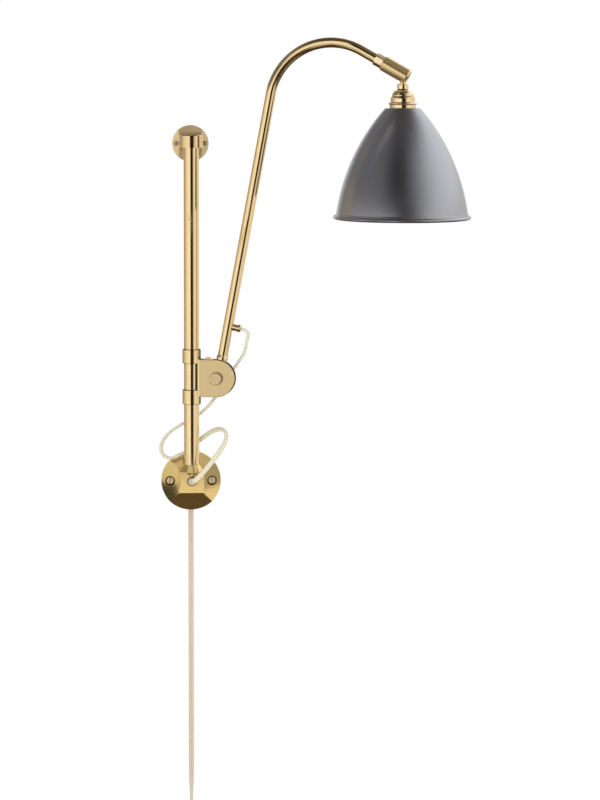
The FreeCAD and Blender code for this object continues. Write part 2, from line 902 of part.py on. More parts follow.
def pivot_nut():
    low = -cheek_outer - spring_washer - nut_height
    nut = hexagon(nut_flats, nut_height, low).common(
        bevelled_disc(nut_flats / 2 / math.cos(math.pi / 6), cheek_bevel, -low - 2 * nut_height, -low)
        .mirror(ORIGIN, Z_AXIS))
    return put(nut.cut(rod(pivot_radius + press_gap, 2 * nut_height, V(0, 0, low - overrun))), across(0, 0))


def friction_pads():
    """Black pad on the inner face of each cheek, flat on the rail's side and notched for the spacer."""
    pads = []
    for side in (-1, 1):
        start = -cheek_inner + press_gap if side < 0 else cheek_inner - press_gap - pad_thickness
        centre = V(pivot_reach, start, 0)
        pad = rod(cheek_radius - pad_inset, pad_thickness, centre, Y_AXIS)
        flat = block(V(0, -cheek_radius, -pivot_reach), V(pivot_reach - pad_flat, cheek_radius, pivot_reach))
        hole = rod(pivot_radius + press_gap, pad_thickness, centre, Y_AXIS)
        pads.append(pad.cut([flat, hole, spacer_rod(spacer_radius + seat_gap, cheek_inner)]))
    return put(Part.Compound(pads), swing.multiply(Placement(V(0, 0, pivot_height), Rotation())))


# Arm
def arm_tongue():
    """Disc on the pivot, with a neck and a round spigot that fills the tube's foot."""
    disc = rod(tongue_radius, 2 * tongue_half, V(0, -tongue_half, 0), Y_AXIS)
    neck = block(V(arm_offset - tongue_neck_width / 2, -tongue_half, 0),
                 V(arm_offset + tongue_neck_width / 2, tongue_half, tongue_shoulder))
    spigot = rod(arm_radius - arm_wall - press_gap, spigot_length, V(arm_offset, 0, tongue_shoulder))
    hole = rod(pivot_radius + running_gap, 2 * pivot_reach, V(0, -pivot_reach, 0), Y_AXIS)
    return put(disc.fuse([neck, spigot]).cut(hole), arm)


def arm_ferrule():
    low = tongue_shoulder + press_gap
    shape = turned([
        (arm_radius - arm_wall, low), (ferrule_radius - cheek_bevel, low),
        (ferrule_radius, low + cheek_bevel), (ferrule_radius, low + ferrule_length / 2),
        (ferrule_top_radius, low + ferrule_length), (arm_radius + press_gap, low + ferrule_length),
        (arm_radius + press_gap, low + ferrule_floor), (arm_radius - arm_wall, low + ferrule_floor),
    ])
    shape.translate(V(arm_offset, 0, 0))
    return put(shape, arm)


def bent(outer, inner, foot, end_inset):
    """Straight run, bend and end run of a tube, or of what lies in it."""
    centre = V(arm_offset + bend_radius, 0, bend_start)
    start = V(arm_offset, 0, bend_start)
    ring = Part.Face(Part.Wire(Part.makeCircle(outer, start, Z_AXIS)))
    if inner > 0:
        ring = ring.cut(Part.Face(Part.Wire(Part.makeCircle(inner, start, Z_AXIS))))
    curve = ring.revolve(centre, Y_AXIS, bend_turn)
    leg = rod(outer, bend_start - foot, V(arm_offset, 0, foot))
    way = V(math.sin(math.radians(bend_turn)), 0, math.cos(math.radians(bend_turn)))
    end_start = V(ball_x, 0, ball_z) - way * arm_end_run
    end = rod(outer, arm_end_run - end_inset, end_start, way)
    if inner > 0:
        leg = leg.cut(rod(inner, bend_start - foot, V(arm_offset, 0, foot)))
        end = end.cut(rod(inner, arm_end_run - end_inset, end_start, way))
    return leg.fuse([curve, end]).removeSplitter()


def arm_tube():
    tube = bent(arm_radius, arm_radius - arm_wall, tube_foot, tube_end_inset)
    hole = rod(gland_hole, 2 * arm_radius, V(arm_offset, 0, gland_place), X_AXIS)
    return put(tube.cut(hole), arm)


def cord_gland():
    """Turned outlet, hollowed to sit on the tube's side."""
    shape = turned([
        (gland_hole, 0), (gland_root_radius, 0), (gland_root_radius, gland_waist),
        (gland_groove_radius, gland_waist), (gland_groove_radius, gland_waist + gland_groove),
        (gland_root_radius, gland_waist + gland_groove), (gland_flare_radius, gland_waist + 3 * gland_groove),
        (gland_flare_radius, gland_reach - gland_groove), (gland_flare_radius - gland_groove, gland_reach),
        (gland_hole, gland_reach),
    ])
    shape = put(shape, Placement(V(arm_offset, 0, gland_place), Rotation(Y_AXIS, 90)))
    shape = shape.cut(rod(arm_radius + press_gap, 4 * arm_radius, V(arm_offset, 0, gland_place - arm_diameter)))
    return put(shape, arm)


def arm_flex():
    """Flex from the outlet into the tube and along it to the ball."""
    r = gland_flex_turn
    axis = V(arm_offset, 0, gland_place)
    entry = [
        Part.LineSegment(axis + V(gland_reach, 0, 0), axis + V(r, 0, 0)).toShape(),
        arc_from(axis + V(r, 0, 0), V(-1, 0, 0), axis + V(0, 0, r)),
    ]
    inlet, _ = swept(entry, flex_tube / 2)
    run = bent(flex_tube / 2, 0, gland_place + r, tube_end_inset)
    return put(inlet.fuse(run), arm)


def arm_end_nut():
    high = -barrel_back - seat_gap
    low = high - end_nut_length
    nut = hexagon(end_nut_flats, end_nut_length, low).common(turned([
        (0, low), (end_nut_radius - cheek_bevel, low), (end_nut_radius, low + cheek_bevel),
        (end_nut_radius, high - cheek_bevel), (end_nut_radius - cheek_bevel, high), (0, high),
    ]))
    return put(nut.cut(rod(arm_radius + press_gap, 2 * end_nut_length, V(0, 0, low - overrun))), barrel)


def arm_end_collar():
    low = -barrel_back + barrel_floor + seat_gap
    shape = pipe(end_collar_radius, arm_radius + press_gap, end_collar_length, V(0, 0, low))
    return put(shape, barrel)


# Barrel
def swivel_barrel():
    """Barrel with a floor round the tube, a rounded and flared mouth and a slot for the stem."""
    diagonal = math.sqrt(1 / 2)
    nose_middle = (
        barrel_flare + (barrel_radius - barrel_flare) * diagonal,
        barrel_front - barrel_nose * (1 - diagonal),
    )
    shape = turned([
        (arm_radius + running_gap, -barrel_back), (barrel_radius - barrel_bevel, -barrel_back),
        (barrel_radius, -barrel_back + barrel_bevel), (barrel_radius, barrel_front - barrel_nose),
        (nose_middle, (barrel_flare, barrel_front)),
        (barrel_mouth, barrel_seat), (barrel_bore, barrel_seat),
        (barrel_bore, -barrel_back + barrel_floor), (arm_radius + running_gap, -barrel_back + barrel_floor),
    ])
    half = stem_radius + slot_clearance
    slot = block(V(0, -half, slot_back), V(2 * barrel_radius, half, barrel_front + overrun))
    slot = slot.fuse(rod(half, 2 * barrel_radius, V(0, 0, slot_back), X_AXIS))
    return put(shape.cut(slot), barrel)


def ball_cup():
    """Cup that the springs press against the ball."""
    shape = pipe(cup_radius, cup_bore, cup_back - cup_front, V(0, 0, -cup_back))
    return put(shape.cut(Part.makeSphere(ball_radius + ball_gap)), barrel)


def cup_spring():
    """Disc springs stacked between the tube's end and the cup, each turned over on the last."""
    discs = []
    low = -barrel_back + barrel_floor + seat_gap + end_collar_length + press_gap
    room = -cup_back - low - press_gap
    step = room / spring_discs
    for k in range(spring_discs):
        base = low + k * step
        rise = step - spring_disc - press_gap
        inner, outer = (0, rise) if k % 2 else (rise, 0)
        discs.append(turned([
            (spring_bore, base + inner), (spring_radius, base + outer),
            (spring_radius, base + outer + spring_disc), (spring_bore, base + inner + spring_disc),
        ]))
    return put(Part.Compound(discs), barrel)


# Head
def swivel_ball():
    """Ball with a hollow stem that reaches into the lampholder's top."""
    stem = rod(stem_radius, ball_height - stem_foot, V(0, 0, stem_foot))
    ball = Part.makeSphere(ball_radius, V(0, 0, ball_height))
    bore = rod(stem_bore, 2 * ball_height, ORIGIN)
    return put(ball.fuse(stem).cut(bore), head)


def stem_nut():
    b = stem_nut_bevel
    shape = turned([
        (stem_radius + press_gap, stem_nut_low), (stem_nut_radius - b, stem_nut_low),
        (stem_nut_radius, stem_nut_low + b), (stem_nut_radius, stem_nut_high - b),
        (stem_nut_radius - b, stem_nut_high), (stem_radius + press_gap, stem_nut_high),
    ])
    return put(shape, head)


def bell_cap():
    """Stepped bell: dome, groove, bulge and lip, as one spun shell."""
    top = stem_nut_low
    shoulder_share = 0.86
    rise_share = 0.55
    shoulder = (cap_dome_radius * shoulder_share, cap_dome_height + (top - cap_dome_height) * rise_share)
    bulge_mid = ((cap_bulge_radius + seat_gap), (cap_bulge_low + cap_groove_height) / 2)
    groove_lip = (cap_groove_height + cap_dome_height) / 2
    dome_inner = cap_dome_radius - cap_wall
    shape = turned([
        (stem_radius + press_gap, top), (cap_top_radius, top),
        (shoulder, (cap_dome_radius, cap_dome_height)), (cap_dome_radius, groove_lip),
        (cap_groove_radius, cap_groove_height), (cap_bulge_radius - seat_gap, cap_groove_height - seat_gap),
        (bulge_mid, (cap_bulge_radius, cap_bulge_low)), (cap_lip_radius, cap_bulge_low),
        (cap_lip_foot_radius, 0), (cap_bulge_radius - cap_wall, 0),
        (cap_bulge_radius - cap_wall, cap_bulge_low), (dome_inner, cap_groove_height - cap_wall),
        (dome_inner, cap_dome_height), (cap_top_radius, top - cap_wall),
        (stem_radius + press_gap, top - cap_wall),
    ])
    return put(shape, head)


def holder_flex():
    """Flex down the stem and into the lampholder."""
    return put(rod(flex_tube / 2, ball_height - stem_foot + holder_collar_top - contact_radius,
                   V(0, 0, contact_radius)), head)


def lampholder_body():
    """Threaded skirt below the shade's top, with a narrower collar inside the cap."""
    roof = -holder_roof
    bore = shell_radius + press_gap
    shape = turned([
        (flex_tube / 2 + press_gap, holder_collar_top - seat_gap), (holder_collar_radius, holder_collar_top - seat_gap),
        (holder_collar_radius, 0), (holder_radius, 0), (holder_radius, -holder_foot),
        (bore, -holder_foot), (bore, roof), (flex_tube / 2 + press_gap, roof),
    ])
    return put(shape, head)


def lampholder_shell():
    """Thin threaded sleeve that takes the bulb's base."""
    return put(pipe(shell_radius, shell_radius - shell_wall, shell_foot - shell_top, V(0, 0, -shell_foot)), head)


def lampholder_contact():
    """Centre contact under the holder's roof."""
    return put(rod(contact_radius, bulb_tip - holder_roof - seat_gap, V(0, 0, -bulb_tip + seat_gap)), head)


def shade():
    """Spun bell: flat top, one long curve, a short flare and a rolled bead."""
    w = shade_wall
    bead_top = bead_drop - bead_section
    shell = turned([
        (shade_hole_radius, 0), (shade_top_radius, 0),
        ((shade_mid_radius, -shade_mid_drop), (shade_low_radius, -shade_low_drop)),
        (bead_radius - w, -bead_top), (bead_radius - w, -bead_drop), (bead_radius - 2 * w, -bead_drop),
        (shade_low_radius - w, -shade_low_drop),
        ((shade_mid_radius - w, -shade_mid_drop - w / 2), (shade_top_radius - w / 2, -w)),
        (shade_hole_radius, -w),
    ])
    bead = Part.makeTorus(bead_radius, bead_section, V(0, 0, -bead_drop))
    return put(shell.fuse(bead), head)


def shade_ring():
    """Knurled ring on the holder's skirt that clamps the shade's top."""
    low = -shade_wall - shade_ring_height
    shape = pipe(shade_ring_radius, holder_radius + press_gap, shade_ring_height, V(0, 0, low))
    rims = [e for e in shape.Edges if abs(e.CenterOfMass.z - low) < press_gap and e.Length > 6 * holder_radius
            and abs(e.Length - 2 * math.pi * shade_ring_radius) < press_gap]
    return put(shape.makeChamfer(cheek_bevel, rims), head)


def bulb_outline(inset):
    """Neck and globe; inset draws the same line inside the glass."""
    neck = bulb_neck_radius - inset
    globe = bulb_radius - inset
    meet_share = 0.62
    meet = (globe * meet_share, -bulb_centre + globe * math.sqrt(1 - meet_share ** 2))
    waist = ((neck * 2 + meet[0]) / 3, (-bulb_base_foot + meet[1]) / 2)
    return turned([
        (0, -bulb_base_foot), (neck, -bulb_base_foot), (waist, meet),
        ((globe, -bulb_centre), (0, -bulb_centre - globe)),
    ])


def bulb_glass():
    glass = bulb_outline(0).cut(bulb_outline(bulb_wall))
    return put(glass, head)


def bulb_base():
    """Screw base with its insulator and tip."""
    r = bulb_base_radius
    shape = turned([
        (0, -bulb_tip), (r / 3, -bulb_tip), (r / 2, -bulb_tip - seat_gap - cap_wall),
        (r, -bulb_tip - 3 * cap_wall), (r, -bulb_base_foot), (0, -bulb_base_foot),
    ])
    return put(shape, head)


def pieces():
    flex_at_arm, flex_at_carriage, flex_at_base = loop_stretches()
    return {
        "lower_wall_plate": lower_wall_plate(),
        "lower_wall_screws": put(wood_screws(screw_spacing, screw_radius, screw_head_radius,
                                             screw_recess_floor, screw_length, screw_point), wall),
        "upper_wall_plate": upper_wall_plate(),
        "upper_wall_screws": put(wood_screws(top_screw_spacing, top_screw_radius, top_screw_head_radius,
                                             top_recess_floor, top_screw_length, top_screw_point), top_wall),
        "rail_tube": pipe(rail_radius, rail_radius - rail_wall, rail_length,
                          V(0, -rail_standoff, rail_foot)),
        "rail_grub_screw": rail_grub_screw(),
        "cord_grommet": cord_grommet(),
        "lead_inside_plate": lead_inside_plate(),
        "mains_lead": mains_lead(),
        "mains_coil": mains_coil(),
        "coil_tie": coil_tie(),
        "lead_tail": lead_tail(),
        "plug_strain_relief": plug_strain_relief(),
        "plug_body": plug_body(),
        "plug_pins": plug_pins(),
        "flex_at_base": flex_at_base,
        "glide_bushes": glide_bushes(),
        "carriage_bracket": carriage_bracket(),
        "carriage_core": carriage_core(),
        "cheek_spacer": cheek_spacer(),
        "pivot_pin": pivot_pin(),
        "pivot_washer": pivot_washer(),
        "pivot_nut": pivot_nut(),
        "friction_pads": friction_pads(),
        "flex_at_carriage": flex_at_carriage,
        "arm_tongue": arm_tongue(),
        "arm_ferrule": arm_ferrule(),
        "arm_tube": arm_tube(),
        "cord_gland": cord_gland(),
        "arm_flex": arm_flex(),
        "arm_end_nut": arm_end_nut(),
        "arm_end_collar": arm_end_collar(),
        "flex_at_arm": flex_at_arm,
        "swivel_barrel": swivel_barrel(),
        "ball_cup": ball_cup(),
        "cup_spring": cup_spring(),
        "swivel_ball": swivel_ball(),
        "stem_nut": stem_nut(),
        "bell_cap": bell_cap(),
        "holder_flex": holder_flex(),
        "lampholder_body": lampholder_body(),
        "lampholder_shell": lampholder_shell(),
        "lampholder_contact": lampholder_contact(),
        "shade": shade(),
        "shade_ring": shade_ring(),
        "bulb_glass": bulb_glass(),
        "bulb_base": bulb_base(),
    }


os.makedirs("parts", exist_ok=True)
for node, shape in pieces().items():
    shape.exportStep("parts/" + node + ".step")
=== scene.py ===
import bpy
import bmesh
import math
from mathutils import Matrix, Vector


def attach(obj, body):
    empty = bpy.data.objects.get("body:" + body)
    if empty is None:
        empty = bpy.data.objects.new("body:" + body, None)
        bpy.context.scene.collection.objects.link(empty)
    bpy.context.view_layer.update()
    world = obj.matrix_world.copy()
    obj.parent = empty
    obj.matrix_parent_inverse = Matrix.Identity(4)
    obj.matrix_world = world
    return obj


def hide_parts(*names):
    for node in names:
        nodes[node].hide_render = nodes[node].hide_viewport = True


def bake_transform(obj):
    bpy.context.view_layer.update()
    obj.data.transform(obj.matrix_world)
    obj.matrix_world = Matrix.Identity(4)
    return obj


# Dresses the wall lamp's solids: finer meshes for the bent tube, the bell cap and the flex, a node
# material for every piece, a studio for the brass to mirror, and the photograph's camera.
# Metres, +Z up. The wall is the plane Y = 0 and the lamp stands on its -Y side.

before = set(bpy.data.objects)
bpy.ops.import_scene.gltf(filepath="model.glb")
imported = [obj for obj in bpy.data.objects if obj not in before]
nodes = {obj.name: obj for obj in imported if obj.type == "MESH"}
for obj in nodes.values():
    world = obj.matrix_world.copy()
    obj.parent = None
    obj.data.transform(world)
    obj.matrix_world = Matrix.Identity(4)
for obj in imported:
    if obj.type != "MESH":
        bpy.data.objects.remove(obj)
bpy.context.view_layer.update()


def mm(x, y, z):
    """Point or offset given in millimetres."""
    return Vector((x, y, z)) / 1000


def clip(t):
    return min(1, max(0, t))


def ease(t):
    """Smooth step from 0 to 1."""
    t = clip(t)
    return t * t * (3 - 2 * t)


def turned(degrees, axis):
    return Matrix.Rotation(math.radians(degrees), 4, axis)


# The lamp's sizes as in the CAD source, in millimetres and degrees
RAIL_AXIS = mm(0, -38, 0)
SWING_ANGLE = -13
PIVOT_REACH = 30.3
PIVOT_HEIGHT = 127.6
ARM_LEAN = 10.5
TUBE_OUTSIDE = 6.0
TUBE_BORE = 5.0
TUBE_OFFSET = 2.2
TUBE_FOOT = 24.2
TUBE_TOP = 340.1
BEND_RADIUS = 72
BEND_ANGLE = 109
TUBE_TAIL = 33
BALL_REACH = 55
HEAD_DROP = 39
SCREWS_X = (-25, 25)
OUTLET_HEIGHT = 5.8

# Frames of the lamp: the arm's plane turns about the rail, the straight tube leans in it, the
# barrel points along the tube's end and the head hangs from the ball
SWING = Matrix.Translation(RAIL_AXIS) @ turned(SWING_ANGLE, "Z")
PIVOT = SWING @ Matrix.Translation(mm(PIVOT_REACH, 0, PIVOT_HEIGHT))
ARM = PIVOT @ turned(ARM_LEAN, "Y")
BEND_TURN = math.radians(BEND_ANGLE)
BEND_SIN, BEND_COS = math.sin(BEND_TURN), math.cos(BEND_TURN)
BALL_LOCAL = mm(
    TUBE_OFFSET + BEND_RADIUS - BEND_RADIUS * BEND_COS + BALL_REACH * BEND_SIN, 0,
    TUBE_TOP + BEND_RADIUS * BEND_SIN + BALL_REACH * BEND_COS,
)
BARREL = ARM @ Matrix.Translation(BALL_LOCAL) @ Matrix.Rotation(BEND_TURN, 4, "Y")
BALL = BARREL.translation.copy()
HEAD = Matrix.Translation(BALL - mm(0, 0, HEAD_DROP)) @ turned(SWING_ANGLE, "Z")

# Camera, fitted to the photograph
cam_data = bpy.data.cameras.new("camera")
cam_data.lens = 116.89
cam_data.sensor_width = 36
cam_data.clip_end = 20
cam_data.shift_y = -0.1
cam = bpy.data.objects.new("camera", cam_data)
bpy.context.scene.collection.objects.link(cam)
cam_place = Matrix.Translation((-0.078, -3.0814, 0.491))
cam_pan, cam_dip, cam_roll = turned(-3.872, "Z"), turned(90 - 5.539, "X"), turned(0.132, "Z")
cam.matrix_world = cam_place @ cam_pan @ cam_dip @ cam_roll
bpy.context.scene.camera = cam


# Mesh helpers
def link(name, mesh):
    obj = bpy.data.objects.new(name, mesh)
    bpy.context.scene.collection.objects.link(obj)
    return obj


def join_rings(bm, a, b):
    """Four-sided faces between two rings with as many points."""
    n = len(a)
    for k in range(n):
        bm.faces.new((a[k], a[(k + 1) % n], b[(k + 1) % n], b[k]))


def smooth_piece(name, bm):
    """Object with smooth shading from a finished bmesh."""
    bmesh.ops.recalc_face_normals(bm, faces=bm.faces)
    mesh = bpy.data.meshes.new(name)
    bm.to_mesh(mesh)
    bm.free()
    mesh.shade_smooth()
    return link(name, mesh)


def shell(name, rings):
    """Mesh through rings of points; the last ring joins the first, and corners stay sharp."""
    bm = bmesh.new()
    rows = [[bm.verts.new(p) for p in ring] for ring in rings]
    for a, b in zip(rows, rows[1:] + rows[:1]):
        join_rings(bm, a, b)
    obj = smooth_piece(name, bm)
    obj.data.set_sharp_from_angle(angle=math.radians(30))
    return obj


def arc_points(first, middle, last, steps):
    """Points after the first along the circle through three points in a plane."""
    (ax, ay), (bx, by), (cx, cy) = first, middle, last
    d = 2 * (ax * (by - cy) + bx * (cy - ay) + cx * (ay - by))
    a2, b2, c2 = ax * ax + ay * ay, bx * bx + by * by, cx * cx + cy * cy
    ux = (a2 * (by - cy) + b2 * (cy - ay) + c2 * (ay - by)) / d
    uy = (a2 * (cx - bx) + b2 * (ax - cx) + c2 * (bx - ax)) / d
    start = math.atan2(ay - uy, ax - ux)
    sweep_angle = math.remainder(math.atan2(cy - uy, cx - ux) - start, math.tau)
    radius = math.hypot(ax - ux, ay - uy)
    angles = [start + sweep_angle * k / steps for k in range(1, steps + 1)]
    return [(ux + radius * math.cos(a), uy + radius * math.sin(a)) for a in angles]


def spun(name, profile, place, segments=96):
    """Piece turned round its own Z from (radius, height) points in millimetres."""
    angles = [math.tau * k / segments for k in range(segments)]
    rings = [[place @ mm(r * math.cos(a), r * math.sin(a), z) for a in angles] for r, z in profile]
    return shell(name, rings)


def stand_in(obj, cad_node, body):
    """A finer brass mesh takes the place of a solid and rides on its body."""
    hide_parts(cad_node)
    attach(obj, body)
    return obj


# The bent tube: centres and turns along the straight run, the bend and the tail, in the arm's frame
BEND_STEPS = 72
tube_path = [(Vector((TUBE_OFFSET, 0, z)), 0.0) for z in (TUBE_FOOT, 120, 230)]
for step in range(BEND_STEPS + 1):
    a = BEND_TURN * step / BEND_STEPS
    across = TUBE_OFFSET + BEND_RADIUS - BEND_RADIUS * math.cos(a)
    tube_path.append((Vector((across, 0, TUBE_TOP + BEND_RADIUS * math.sin(a))), a))
tube_path.append((tube_path[-1][0] + Vector((BEND_SIN, 0, BEND_COS)) * TUBE_TAIL, BEND_TURN))


def tube_ring(centre, turn, radius, segments=64):
    out = Vector((math.cos(turn), 0, -math.sin(turn)))
    side = Vector((0, 1, 0))
    angles = [math.tau * k / segments for k in range(segments)]
    return [ARM @ ((centre + out * (radius * math.cos(a)) + side * (radius * math.sin(a))) / 1000)
            for a in angles]


outside = [tube_ring(centre, turn, TUBE_OUTSIDE) for centre, turn in tube_path]
bore = [tube_ring(centre, turn, TUBE_BORE) for centre, turn in reversed(tube_path)]
tube = stand_in(shell("arm_tube_fine", outside + bore), "arm_tube", "arm")

# The bell cap: dome, step, waist, rolled lip and hollow
cap_profile = [(3.65, 21.5), (5.6, 21.5)]
cap_profile += arc_points((5.6, 21.5), (10.84, 18.75), (12.6, 15.4), 10)
cap_profile += [(12.6, 14.3), (12.1, 13.2), (14.0, 13.1)]
cap_profile += arc_points((14.0, 13.1), (14.3, 10.05), (14.1, 7.2), 6)
cap_profile += [(14.3, 6.9), (16.2, 6.7)]
cap_profile += arc_points((16.2, 6.7), (16.9, 5.6), (16.2, 4.4), 6)
cap_profile += [(15.7, 3.9), (15.4, 0.0), (12.9, 0.0), (12.9, 6.9)]
cap_profile += [(11.4, 12.0), (11.4, 15.4), (5.6, 20.3), (3.65, 20.3)]
cap = stand_in(spun("bell_cap_fine", cap_profile, HEAD), "bell_cap", "head")


# Cords
def nurbs(name, points):
    """Smooth open spline with the route's points as control points."""
    data = bpy.data.curves.new(name, "CURVE")
    data.dimensions = "3D"
    spline = data.splines.new("NURBS")
    spline.points.add(len(points) - 1)
    for k, p in enumerate(points):
        spline.points[k].co = (*p, 1)
    spline.order_u = 3
    spline.use_endpoint_u = True
    spline.resolution_u = 6
    obj = bpy.data.objects.new(name, data)
    bpy.context.scene.collection.objects.link(obj)
    return obj


def line_of(curve, closest=0.0004):
    """Points along the smooth spline, at least closest metres apart; the curve is dropped."""
    bpy.context.view_layer.update()
    mesh = bpy.data.meshes.new_from_object(curve)
    points = [v.co.copy() for v in mesh.vertices]
    bpy.data.meshes.remove(mesh)
    bpy.data.objects.remove(curve)
    kept = [points[0]]
    for p in points[1:]:
        if (p - kept[-1]).length > closest:
            kept.append(p)
    return kept


def length_of(points):
    return sum((b - a).length for a, b in zip(points, points[1:]))


def nearest(points, target):
    return min(range(len(points)), key=lambda k: (points[k] - target).length)


def twin_section(width, thick, groove):
    """Outline of flat twin flex: two round cores side by side, and a groove between them."""
    core_steps = 8
    groove_half, groove_edge = 0.00050, 0.99
    r = thick / 2
    core_x = width / 2 - r
    outline = []
    for side in (1, -1):
        for k in range(core_steps + 1):
            a = math.radians(180 * k / core_steps - 90)
            outline.append((side * (core_x + r * math.cos(a)), side * r * math.sin(a)))
        outline.append((side * groove_half, side * r * groove_edge))
        outline.append((0.0, side * (r - groove)))
        outline.append((-side * groove_half, side * r * groove_edge))
    return outline


def sweep(name, points, across_at, section, share=(0, 1)):
    """Mesh of the section carried along points.

    across_at gives the section's wide direction by the share of the cord's length; share is what
    these points take up of it."""
    total = length_of(points)
    bm = bmesh.new()
    rings = []
    travelled = 0
    for k, p in enumerate(points):
        if k:
            travelled += (p - points[k - 1]).length
        way = (points[min(k + 1, len(points) - 1)] - points[max(k - 1, 0)]).normalized()
        wide = across_at(share[0] + (share[1] - share[0]) * travelled / total)
        wide = (wide - way * wide.dot(way)).normalized()
        up = way.cross(wide)
        rings.append([bm.verts.new(p + wide * a + up * b) for a, b in section])
    for a, b in zip(rings, rings[1:]):
        join_rings(bm, a, b)
    bm.faces.new(list(reversed(rings[0])))
    bm.faces.new(rings[-1])
    return smooth_piece(name, bm)


FLEX_WIDTH = 0.0062
FLEX_THICK = 0.0032
LOOP_FLEX = twin_section(FLEX_WIDTH, FLEX_THICK, groove=0.00022)
LEAD_FLEX = twin_section(FLEX_WIDTH, FLEX_THICK, groove=0.0012)

# The loop, from the gland on the arm, behind the rail, round to its left and back over its front
# into the lower plate's outlet
gland_tip = ARM @ mm(17.6, 0, 63)
gland_way = ARM.to_3x3() @ Vector((1, 0, 0))
LOOP = [gland_tip, gland_tip + gland_way * 0.010] + [mm(*p) for p in (
    (64.8, -50.0, 172.5), (62.6, -44.5, 157.5), (55.0, -35.5, 145.0), (45.5, -27.5, 129.5),
    (35.0, -24.5, 111.0), (22.0, -23.5, 93.0), (8.0, -21.5, 80.0), (-9.0, -20.0, 71.0),
    (-25.0, -21.0, 61.5), (-36.0, -22.5, 48.5), (-35.8, -23.0, 34.5), (-25.5, -22.0, 28.3),
    (-12.0, -20.5, 32.5), (3.5, -20.5, 44.5), (18.0, -24.0, 58.0), (31.0, -31.5, 66.3),
    (41.5, -39.0, 63.5), (40.5, -46.0, 52.5), (31.0, -52.0, 38.5), (19.5, -57.5, 25.5),
    (9.5, -61.5, 14.0), (0.0, -62.3, OUTLET_HEIGHT), (0.0, -51.8, OUTLET_HEIGHT),
)]
loop_line = line_of(nurbs("loop_route", LOOP))
loop_length = length_of(loop_line)
arm_join = nearest(loop_line, (LOOP[5] + LOOP[6]) / 2)
glide_join = nearest(loop_line, (LOOP[8] + LOOP[9]) / 2)
loop_end = len(loop_line) - 1

# How the flat flex lies along the loop: share of the length and the direction of its width
WIDTH_WAYS = [
    (0.00, (0.22, 0.97, 0)), (0.10, (0.22, 0.97, 0)), (0.19, (0.22, 0.97, 0.1)),
    (0.30, (0.20, 0.97, -0.1)), (0.42, (0.15, 0.98, -0.1)), (0.50, (0.35, 0.90, 0)),
    (0.56, (0.50, 0.85, -0.1)), (0.63, (0.10, 0.85, -0.5)), (0.70, (-0.40, 0.70, 0.5)),
    (0.75, (-0.4, 0.85, 0.35)), (0.80, (0.5, 0.85, 0.1)), (0.86, (0.7, 0.35, -0.6)),
    (0.94, (0.78, 0.1, -0.62)), (1.00, (0.78, 0, -0.62)),
]


def loop_across(share):
    for (a, va), (b, vb) in zip(WIDTH_WAYS, WIDTH_WAYS[1:]):
        if share <= b or b == WIDTH_WAYS[-1][0]:
            return Vector(va).lerp(Vector(vb), ease((share - a) / (b - a)))


def loop_piece(name, first, last, cad_node):
    """One stretch of the loop, between two of its points, swept in place of a CAD node."""
    points = loop_line[first:last + 1]
    share = [length_of(loop_line[:k + 1]) / loop_length for k in (first, last)]
    obj = sweep(name, points, loop_across, LOOP_FLEX, share)
    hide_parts(cad_node)
    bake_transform(obj)
    return obj


upper_loop = loop_piece("loop_upper", 0, arm_join, "flex_at_arm")
middle_loop = loop_piece("loop_middle", arm_join, glide_join,
                         "flex_at_carriage")
# What lies behind the rail slides with the carriage, and the run in front of it pays out.
lower_loop = loop_piece("loop_lower", glide_join, loop_end, "flex_at_base")

# Mains lead, in millimetres: straight down the wall, wound up below the picture, and a short tail
LEAD_DEPTH = -2.6
LEAD_BOTTOM = -392.0
COIL_RADIUS = 36.0
COIL_X = 16.0
COIL_Z = LEAD_BOTTOM - 20.6 - COIL_RADIUS
COIL_LAYERS = 4
HALF_TURNS = 3
HALF_TURN_STEP = 2.875
LAYER_STEP = 6.5
FIRST_LAYER = 4.5
POINTS_PER_HALF = 8
TAIL_DEPTH = -24.0


def coil_turns():
    """Control points of the wound length, which goes in and out in layers.

    There is half a turn from each (radius, depth) to the next, and the points lie a little farther
    out, because the spline cuts inside them."""
    radius, depth = COIL_RADIUS, FIRST_LAYER
    stations = [(radius, depth)]
    for layer in range(COIL_LAYERS):
        for _ in range(HALF_TURNS):
            radius += HALF_TURN_STEP if layer % 2 else -HALF_TURN_STEP
            stations.append((radius, depth))
        if layer < COIL_LAYERS - 1:
            depth += LAYER_STEP
            stations.append((radius, depth))
    swell = 1 / math.cos(math.pi / POINTS_PER_HALF / 2)
    points = []
    for k, ((r0, d0), (r1, d1)) in enumerate(zip(stations, stations[1:])):
        for j in range(POINTS_PER_HALF):
            t = (j + 0.5) / POINTS_PER_HALF
            r = (r0 + (r1 - r0) * t) * swell
            a = math.pi * (k + t)
            y = -(d0 + (d1 - d0) * ease(t))
            points.append(mm(COIL_X + r * math.sin(a), y, COIL_Z + r * math.cos(a)))
    return points


coil_foot = COIL_Z - COIL_RADIUS
tail_x = COIL_X - 19.6
lead_points = [mm(0, LEAD_DEPTH, -34.5), mm(0, LEAD_DEPTH, -355), mm(0, LEAD_DEPTH, -388),
               mm(0.1, -2.7, -398), mm(1.6, -3.2, -406), mm(7.0, -4.0, -412.4)]
lead_points += coil_turns()
lead_points += [mm(x, TAIL_DEPTH, coil_foot - drop) for x, drop in (
    (COIL_X - 3.0, 0), (tail_x + 9.0, 0.6), (tail_x + 2.0, 4.5), (tail_x, 13.0), (tail_x, 31.0),
)]
lead_line = line_of(nurbs("lead_route", lead_points))


